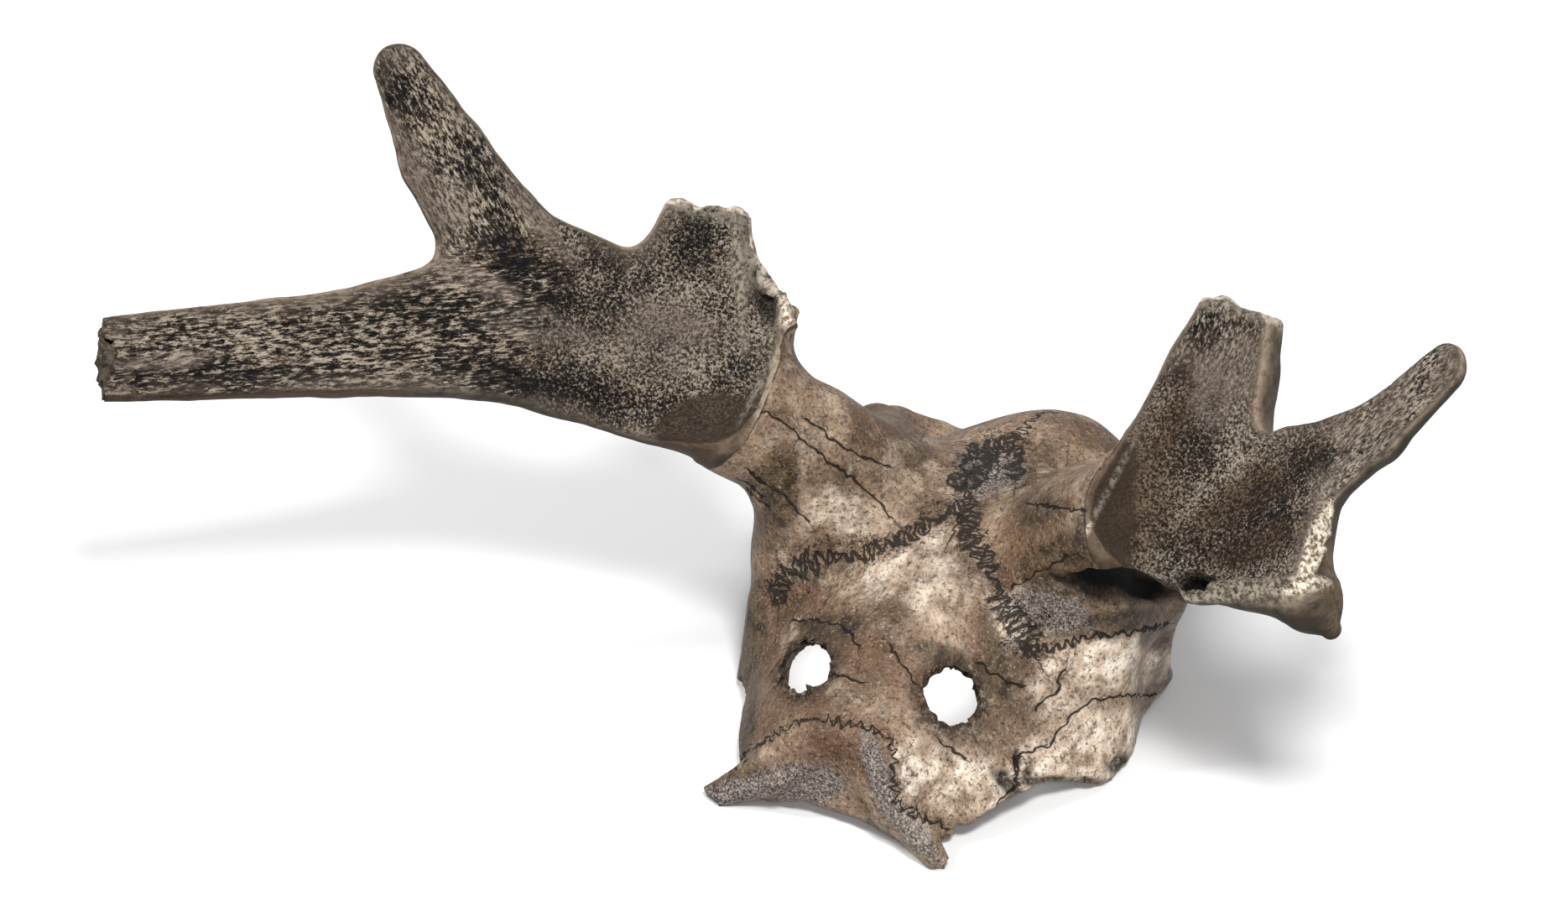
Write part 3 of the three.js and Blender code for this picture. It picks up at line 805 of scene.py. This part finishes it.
whole_bone = laid_out("whole_bone", one_bone)
left_antler, rest = parted("left_antler", whole_bone, burr_knife("left_burr", -1))
right_antler, rest = parted("right_antler", rest, burr_knife("right_burr", 1))


def rgb(red, green, blue):
    """A colour read off as 0 to 255, as the shader wants it."""
    seen = (red, green, blue)
    return tuple(((v / 255 + 0.055) / 1.055) ** 2.4 if v > 10 else v / 255 / 12.92 for v in seen)


class Finish:
    """A bone finish, mixed step by step from the marks and from random grain."""

    def __init__(self, name):
        self.material = bpy.data.materials.new(name)
        self.material.use_nodes = True
        self.tree = self.material.node_tree
        self.shader = self.tree.nodes["Principled BSDF"]
        self.place = self.node("ShaderNodeTexCoord").outputs["Object"]

    def put(self, socket, value):
        if isinstance(value, bpy.types.NodeSocket):
            self.tree.links.new(value, socket)
        elif socket.type == "RGBA":
            socket.default_value = (*value, 1)
        else:
            socket.default_value = value

    def node(self, kind, inputs=None, **settings):
        made = self.tree.nodes.new(kind)
        for key, value in settings.items():
            setattr(made, key, value)
        for key, value in (inputs or {}).items():
            self.put(made.inputs[key], value)
        return made

    def calc(self, operation, a, b=0.0):
        return self.node("ShaderNodeMath", {0: a, 1: b}, operation=operation).outputs[0]

    def mark(self, name):
        return self.node("ShaderNodeAttribute", attribute_name=name).outputs["Fac"]

    def grain(self, size, detail=3.0, rough=0.5, place=None, bend=0.0):
        """Random grain of this size in mm."""
        inputs = {"Vector": place or self.place, "Scale": 1000 / size, "Detail": detail, "Roughness": rough}
        return self.node("ShaderNodeTexNoise", {**inputs, "Distortion": bend}).outputs["Fac"]

    def along(self, direction, stretch):
        """Places stretched along one direction, for a fibrous grain."""
        turn = Vector((1, 0, 0)).rotation_difference(Vector(direction).normalized()).to_euler()
        inputs = {"Vector": self.place, "Rotation": turn, "Scale": (stretch, 1, 1)}
        return self.node("ShaderNodeMapping", inputs, vector_type="TEXTURE").outputs[0]

    def step(self, value, low, high, top=1.0):
        inputs = {"Value": value, "From Min": low, "From Max": high, "To Min": 0.0, "To Max": top}
        return self.node("ShaderNodeMapRange", inputs, interpolation_type="SMOOTHSTEP").outputs["Result"]

    def mix(self, amount, a, b):
        return self.node("ShaderNodeMix", {0: amount, 6: a, 7: b}, data_type="RGBA").outputs[2]

    def blend(self, amount, a, b):
        return self.node("ShaderNodeMix", {0: amount, 2: a, 3: b}, data_type="FLOAT").outputs[0]

    def bump(self, height):
        """Lets the height, in mm, tilt the surface."""
        bump = self.node("ShaderNodeBump", {"Height": height, "Strength": 1.0, "Distance": 0.001})
        self.tree.links.new(bump.outputs["Normal"], self.shader.inputs["Normal"])


def antler_finish(name, grains):
    """Rind and core by the marks core and below, with fibres along the beam and tines."""
    f = Finish(name)
    wobble = f.grain(3, 3, 0.6)
    core = f.step(f.calc("ADD", f.mark("core"), f.calc("MULTIPLY", wobble, 1.6)), 1.3, 2.6)
    pore = f.grain(0.76, 4, 0.82)
    for mark, direction, stretch in grains:
        fibre = f.along(direction, stretch)
        pore = f.blend(f.mark(mark), pore, f.grain(0.74, 4, 0.8, fibre))
    zone = f.calc("MULTIPLY", f.calc("SUBTRACT", f.grain(13, 5, 0.62), 0.5), 0.22)
    # More dark pits where soot lies, which along lower edges is painted shade.
    zone = f.calc("ADD", zone, f.calc("MULTIPLY", f.mark("soot_and_shade"), 0.055))
    value = f.calc("SUBTRACT", pore, zone)
    hazy = f.grain(9, 4, 0.6)
    spongy = f.mix(f.step(hazy, 0.35, 0.65), rgb(92, 82, 71), rgb(126, 106, 86))
    spongy = f.mix(f.step(value, 0.51, 0.44), spongy, rgb(11, 9, 8))
    spongy = f.mix(f.step(value, 0.50, 0.575), spongy, rgb(224, 208, 186))
    brown_core = f.mix(f.step(value, 0.42, 0.6), rgb(46, 33, 23), rgb(142, 114, 86))
    spongy = f.mix(f.mark("tanned"), spongy, brown_core)
    tan = f.mix(f.step(pore, 0.36, 0.62), rgb(84, 70, 58), rgb(190, 172, 156))
    spongy = f.mix(f.calc("MULTIPLY", f.mark("worn"), f.step(hazy, 0.3, 0.55, 0.75)), spongy, tan)
    rim = f.calc("MULTIPLY", f.step(f.mark("core"), 7, 0.8), f.step(hazy, 0.36, 0.56, 0.75))
    spongy = f.mix(rim, spongy, f.mix(f.step(pore, 0.42, 0.6), rgb(98, 86, 74), rgb(158, 142, 126)))
    broad = f.grain(14, 4, 0.6)
    rind = f.mix(f.step(broad, 0.35, 0.65), rgb(56, 47, 36), rgb(102, 87, 70))
    ridges = f.grain(2.2, 4, 0.6, f.along(grains[0][1], 7))
    rind = f.mix(f.step(ridges, 0.5, 0.7, 0.6), rind, rgb(34, 29, 23))
    edge = f.step(f.mark("below"), 5, 0.5, 0.75)
    rind = f.mix(f.calc("MULTIPLY", edge, f.step(wobble, 0.3, 0.6)), rind, rgb(150, 133, 116))
    # Rind that faces down, painted dark as painted shade.
    underside_shade_colour = f.mix(wobble, rgb(26, 26, 20), rgb(62, 56, 44))
    rind = f.mix(f.calc("MULTIPLY", f.mark("under"), 0.85), rind, underside_shade_colour)
    colour = f.mix(core, rind, spongy)
    fresh = f.calc("MULTIPLY", f.mark("snapped"), f.step(f.grain(1.6, 3), 0.35, 0.6, 0.85))
    colour = f.mix(fresh, colour, rgb(206, 194, 176))
    # Shaved rind painted dark brown, partly as painted shade.
    shaved_and_shaded_rind = f.mix(wobble, rgb(48, 36, 26), rgb(92, 74, 56))
    colour = f.mix(f.calc("MULTIPLY", f.mark("shaved_and_shade"), 0.85), colour, shaved_and_shaded_rind)
    # Raised edges painted pale: partly broken bone, partly painted highlight.
    broken = f.mix(f.step(f.grain(1.2, 4, 0.7), 0.4, 0.58), rgb(96, 80, 62), rgb(222, 208, 188))
    colour = f.mix(f.calc("MULTIPLY", f.mark("pale_edge_and_highlight"), 0.92), colour, broken)
    # Hollows painted near black: painted shade.
    colour = f.mix(f.calc("MULTIPLY", f.mark("hollow_shade"), 0.96), colour, rgb(15, 12, 11))
    f.put(f.shader.inputs["Base Color"], colour)
    f.put(f.shader.inputs["Roughness"], f.blend(core, 0.42, 0.6))
    height = f.calc("MULTIPLY", f.calc("MULTIPLY", value, core), 5.0)
    height = f.calc("ADD", height, f.calc("MULTIPLY", ridges, 0.8))
    height = f.calc("ADD", height, f.calc("MULTIPLY", f.grain(1.2, 4, 0.6), 0.3))
    f.shader.inputs["Specular IOR Level"].default_value = 0.22
    f.bump(height)
    return f.material


LEFT_FIBRES = [("beam", (-0.75, -0.655, 0.05), 4.5), ("tine", (-0.63, 0.15, 0.76), 3.0)]
RIGHT_FIBRES = [("tine", (0.66, 0.3, 0.69), 2.5), ("brow", (0, 0.69, 0.72), 2.0)]
for name, cut, fibres, nodes in [
    ("left_antler", left_antler, LEFT_FIBRES,
     ["antler_left_base", "antler_left_beam", "antler_left_bez_tine", "antler_left_brow_stub"]),
    ("right_antler", right_antler, RIGHT_FIBRES,
     ["antler_right_base", "antler_right_bez_tine", "antler_right_brow_tine"]),
]:
    piece = finished(name, cut, antler_finish(name, fibres))
    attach(piece, "root")
    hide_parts(*nodes)

# The forehead
# The two frontal bones carry the pedicles and the brow ridges. They are polished brown bone, and are parted
# where they meet the roof in a toothed suture across the cap, and each other in one along its middle.
CORONAL = [[-OUTSIDE, 0], *CORONAL_LEFT[:0:-1], [0, 0.2], *CORONAL_RIGHT[1:], [OUTSIDE, 0]]
KNIFE_FOOT, KNIFE_HEIGHT = -20, 200
PEDICLE_FOOT = 46.6


def outline_knife(name, outline, reach):
    """A block whose outline is given by places on the bone."""
    sheet = bmesh.new()
    sheet.faces.new([sheet.verts.new(in_frame(*place)) for place in outline])
    return knife(name, sheet, reach)


def upright_knife(name, outline):
    """A block that cuts the whole cap from above."""
    return outline_knife(name, [(x, y, KNIFE_FOOT) for x, y in outline], (0, 0, KNIFE_HEIGHT))


front_knife = upright_knife("front", [*CORONAL, [OUTSIDE, OUTSIDE], [-OUTSIDE, OUTSIDE]])
for side in (-1, 1):
    square = [(30, -70), (OUTSIDE, -70), (OUTSIDE, 30), (30, 30)]
    pedicle_knife = outline_knife("pedicle", [(x * side, y, PEDICLE_FOOT) for x, y in square], (0, 0, 120))
    front_knife = sawn("front", front_knife, pedicle_knife, "UNION")
left_side = [(-OUTSIDE, -OUTSIDE), (0, -OUTSIDE), *INTERFRONTAL, (1, OUTSIDE), (-OUTSIDE, OUTSIDE)]
fronts, rest = parted("fronts", rest, front_knife)
left_frontal, right_frontal = parted("frontal", fronts, upright_knife("crown", left_side))


def meander(f, name, swing, tooth, width, shift=0.0):
    """A dark line that winds in and out between two bones, thin where its teeth are long."""
    away = f.mark(name)
    place = f.node("ShaderNodeMapping", {"Vector": f.place, "Location": (shift, shift, 0)}).outputs[0]
    run = f.calc("ADD", f.mark(name + "_run"), f.calc("MULTIPLY", f.grain(4.5, 2, place=place), 5.5))
    wander = f.calc("SUBTRACT", f.grain(2.4, 2, place=place), 0.5)
    away = f.calc("ADD", away, f.calc("MULTIPLY", wander, 3.0))
    swing = f.calc("MULTIPLY", f.step(f.grain(11, 1), 0.3, 0.7, 1.0), swing)
    turn = f.calc("MULTIPLY", run, 2 * math.pi / tooth)
    line = f.calc("SUBTRACT", away, f.calc("MULTIPLY", f.calc("SINE", turn), swing))
    lean = f.calc("MULTIPLY", f.calc("MULTIPLY", f.calc("COSINE", turn), swing), 2 * math.pi / tooth)
    steep = f.calc("SQRT", f.calc("ADD", f.calc("MULTIPLY", lean, lean), 1.0))
    near = f.calc("DIVIDE", f.calc("ABSOLUTE", line), steep)
    return f.step(near, width, width * 0.35)


def skull_finish():
    """Polished brown bone with dark sutures and cracks, cream patches that are also painted highlight, pale
    flecks painted as highlight, olive patches that are also painted shade, hollows painted near black as
    shade, and rusty stains.
    """
    f = Finish("polished_bone")
    broad, patchy, fine = f.grain(24, 3), f.grain(6.5, 5, 0.62), f.grain(1.3, 5, 0.7)
    streaks = f.grain(3.2, 4, 0.65, f.along((0.1, 1, 0.2), 4))
    speck = f.grain(0.85, 4, 0.75)
    colour = f.mix(f.step(broad, 0.36, 0.62), rgb(88, 69, 50), rgb(138, 115, 93))
    colour = f.mix(f.step(patchy, 0.45, 0.72, 0.7), colour, rgb(180, 160, 139))
    colour = f.mix(f.step(streaks, 0.47, 0.7, 0.6), colour, rgb(66, 51, 38))
    rusty = f.calc("MULTIPLY", f.mark("stain"), f.step(patchy, 0.3, 0.55, 0.7))
    colour = f.mix(rusty, colour, rgb(92, 61, 40))
    # Cream patches: partly pale bone, partly painted highlight.
    cream_and_highlight = f.mix(f.step(streaks, 0.35, 0.6), rgb(248, 234, 216), rgb(206, 184, 160))
    colour = f.mix(f.calc("MULTIPLY", f.mark("pale_and_highlight"), f.step(patchy, 0.3, 0.6, 0.95)), colour, cream_and_highlight)
    # Olive patches: partly dark stain, partly painted shade.
    olive_and_shade_colour = f.mix(f.step(streaks, 0.4, 0.6), rgb(36, 27, 18), rgb(92, 75, 54))
    colour = f.mix(f.calc("MULTIPLY", f.mark("olive_and_shade"), 0.9), colour, olive_and_shade_colour)
    granular = f.mix(f.step(f.grain(0.6, 3, 0.8), 0.4, 0.62), rgb(38, 32, 28), rgb(160, 150, 143))
    colour = f.mix(f.calc("MULTIPLY", f.mark("grey"), 0.85), colour, granular)
    colour = f.mix(f.step(fine, 0.53, 0.62, 0.72), colour, rgb(44, 32, 22))
    # Scattered pale flecks: painted highlights.
    colour = f.mix(f.step(speck, 0.57, 0.67, 0.34), colour, rgb(220, 208, 196))
    colour = f.mix(f.step(speck, 0.44, 0.37, 0.7), colour, rgb(34, 25, 18))
    colour = f.mix(f.calc("MULTIPLY", f.mark("inside"), 0.7), colour, rgb(82, 65, 46))
    ring = f.step(f.calc("ADD", f.mark("chip"), f.calc("MULTIPLY", f.grain(3, 4, 0.65), 6.0)), 9.0, 3.6)
    dirt = f.calc("MULTIPLY", ring, f.step(f.grain(1.5, 4, 0.7), 0.34, 0.56, 0.9))
    colour = f.mix(dirt, colour, rgb(44, 34, 26))
    winding = f.calc("ABSOLUTE", f.calc("SUBTRACT", f.grain(2.5, 1.0, 0.4, bend=1.6), 0.5))
    loops = f.calc("MULTIPLY", f.step(winding, 0.036, 0.014), f.step(f.grain(6, 2), 0.4, 0.5))
    ragged = f.calc("MULTIPLY", f.calc("SUBTRACT", f.grain(3.4, 3, 0.6), 0.5), 14.0)
    band = f.step(f.calc("ADD", f.mark("band"), ragged), 4.6, 2.2)
    dark = f.calc("MULTIPLY", loops, band)
    for name, swing, tooth, width, shift in (
        ("teeth", 3.4, 2.9, 0.5, 0.0), ("teeth", 3.0, 4.3, 0.46, 0.05), ("nape", 1.1, 2.8, 0.34, 0),
        ("temple", 0.8, 2.6, 0.5, 0), ("crown", 2.8, 3.2, 0.45, 0), ("side", 0.8, 6.0, 0.4, 0),
        ("front", 0.8, 4.0, 0.4, 0),
    ):
        dark = f.calc("MAXIMUM", dark, meander(f, name, swing, tooth, width, shift))
    split = f.step(f.calc("ABSOLUTE", f.mark("crack")), 0.34, 0.12)
    burr = f.step(f.calc("ABSOLUTE", f.mark("burr")), 0.5, 0.15, 0.8)
    dark = f.calc("MAXIMUM", f.calc("MAXIMUM", dark, split), burr)
    dusty = f.calc("MULTIPLY", band, f.step(f.grain(1.9, 4, 0.6), 0.42, 0.64, 0.5))
    colour = f.mix(dusty, colour, rgb(52, 43, 36))
    colour = f.mix(f.calc("MULTIPLY", dark, 0.93), colour, rgb(22, 17, 13))
    # Hollows painted near black: painted shade.
    colour = f.mix(f.mark("hollow_shade"), colour, rgb(12, 9, 8))
    colour = f.mix(f.calc("MULTIPLY", f.mark("rim"), f.step(speck, 0.3, 0.5, 0.95)), colour, rgb(18, 14, 11))
    f.shader.inputs["Specular IOR Level"].default_value = 0.27
    f.put(f.shader.inputs["Base Color"], colour)
    rough = f.blend(f.step(patchy, 0.35, 0.7), 0.17, 0.36)
    rough = f.blend(f.calc("MAXIMUM", f.calc("MAXIMUM", ring, dark), f.mark("hollow_shade")), rough, 0.75)
    f.put(f.shader.inputs["Roughness"], rough)
    height = f.calc("ADD", f.calc("MULTIPLY", fine, 0.4), f.calc("MULTIPLY", speck, 0.22))
    height = f.calc("ADD", height, f.calc("MULTIPLY", streaks, 0.6))
    height = f.calc("ADD", height, f.calc("MULTIPLY", patchy, 0.9))
    pitted = f.calc("MULTIPLY", f.calc("ADD", ring, f.mark("grey")), f.grain(0.9, 2, 0.6))
    height = f.calc("ADD", height, f.calc("MULTIPLY", pitted, 0.9))
    height = f.calc("SUBTRACT", height, f.calc("MULTIPLY", dark, 0.6))
    f.bump(height)
    return f.material


bone_finish = skull_finish()
for name, cut, node in [
    ("left_frontal", left_frontal, "frontal_left"),
    ("right_frontal", right_frontal, "frontal_right"),
]:
    piece = finished(name, cut, bone_finish)
    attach(piece, "root")
    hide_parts(node)

# The roof, the nape and the temples
# The parietal is the vaulted roof behind the forehead, the occipital is the nape with its two crests, and
# the temporals stand at the sides. They are the same brown bone, and each is sawn along its own suture.
LAMBDOID = [[-64, -35], [-36, -33], [-13, -22.5], [12.8, -20], [18, -30], [29, -36], [64, -38]]
NAPE_FALL, NAPE_RISE = 0.66, 0.751
TEMPLE_OUT = 24
nape_outline = [*LAMBDOID, (OUTSIDE, -38), (OUTSIDE, -150), (-OUTSIDE, -150), (-OUTSIDE, -35)]
nape_knife = outline_knife("nape", [
    (x, w * NAPE_FALL - 150 * NAPE_RISE, w * NAPE_RISE + 150 * NAPE_FALL) for x, w in nape_outline
], (0, 300 * NAPE_RISE, -300 * NAPE_FALL))
nape_bone, rest = parted("nape_bone", rest, nape_knife)
temple_outline = [(-90, -9), *SQUAMOSAL, (60, 36), (60, -20), (-90, -20)]
left_temple_knife, right_temple_knife = (
    outline_knife("temple", [(TEMPLE_OUT * side, y, z) for y, z in temple_outline], (100 * side, 0, 0))
    for side in (-1, 1)
)
left_temple, rest = parted("left_temple", rest, left_temple_knife)
right_temple, roof_bone = parted("right_temple", rest, right_temple_knife)

for name, cut, node in [
    ("roof_bone", roof_bone, "parietal"),
    ("nape_bone", nape_bone, "occipital"),
    ("left_temple", left_temple, "temporal_left"),
    ("right_temple", right_temple, "temporal_right"),
]:
    piece = finished(name, cut, bone_finish)
    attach(piece, "root")
    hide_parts(node)

for tool in workbench:
    bpy.data.objects.remove(tool)
bpy.data.meshes.remove(one_bone)
